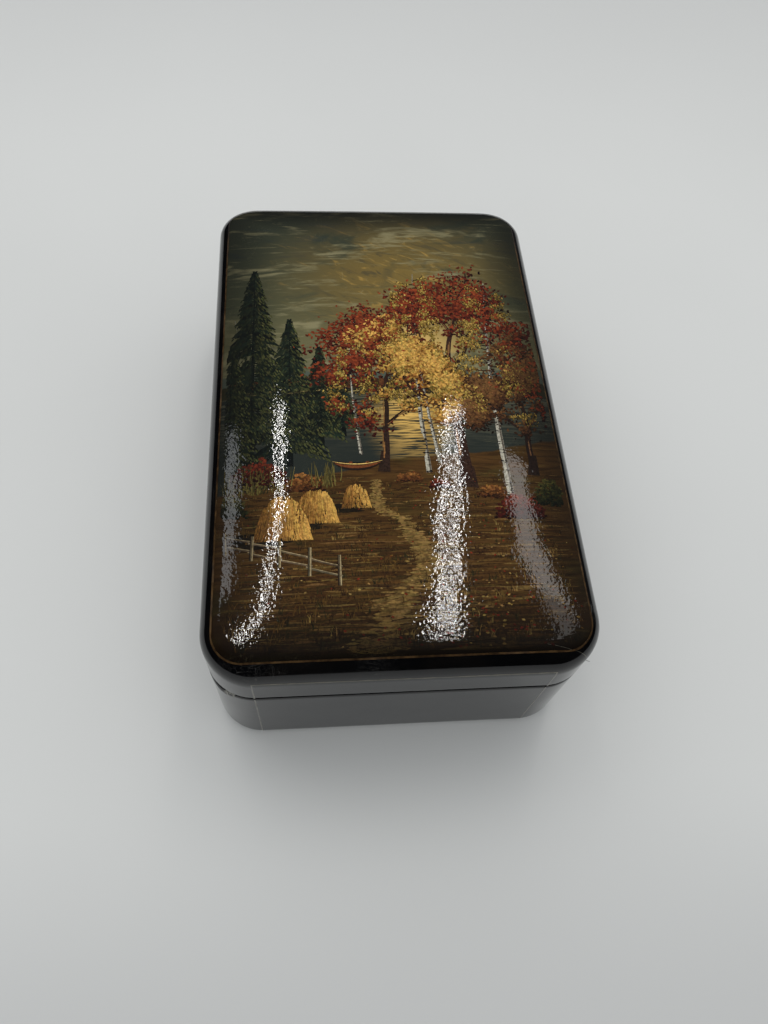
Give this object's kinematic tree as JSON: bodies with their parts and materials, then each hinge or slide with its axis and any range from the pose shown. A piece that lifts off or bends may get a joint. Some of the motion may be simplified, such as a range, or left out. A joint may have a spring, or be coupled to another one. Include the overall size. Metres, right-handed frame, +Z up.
{
  "type": "hinged lacquer box",
  "caption": "Rectangular papier-mache lacquer box with rounded corners, a crowned hinged lid and a painted picture layer over mother-of-pearl.",
  "frame": {"origin": "under the middle of the box, on the surface that it stands on", "axes": "+Z up, +Y along the box's long side towards the picture's top, +X across it, away from the hinge"},
  "size_m": [0.1, 0.1634, 0.0549],
  "materials": {
    "black_lacquer": "gloss",
    "red_lacquer": "gloss",
    "painted_lacquer": "gloss",
    "mother_of_pearl": "polished",
    "hinge_brass": "satin"
  },
  "bodies": {
    "base": {"base_wall": "black_lacquer", "base_bottom": "black_lacquer", "base_lining": "red_lacquer", "base_hinge_leaf": "hinge_brass", "base_hinge_nails": "hinge_brass", "hinge_pin": "hinge_brass"},
    "lid": {"lid_wall": "black_lacquer", "lid_top": "black_lacquer", "pearl_inlay": "mother_of_pearl", "picture_layer": "painted_lacquer", "lid_hinge_leaf": "hinge_brass", "lid_hinge_nails": "hinge_brass"}
  },
  "joints": [
    {"name": "lid_hinge", "type": "hinge", "parent": "base", "child": "lid", "pos_m": [-0.0464, 0, 0.03503], "axis": [0, -1, 0], "range_deg": [0, 90]}
  ]
}
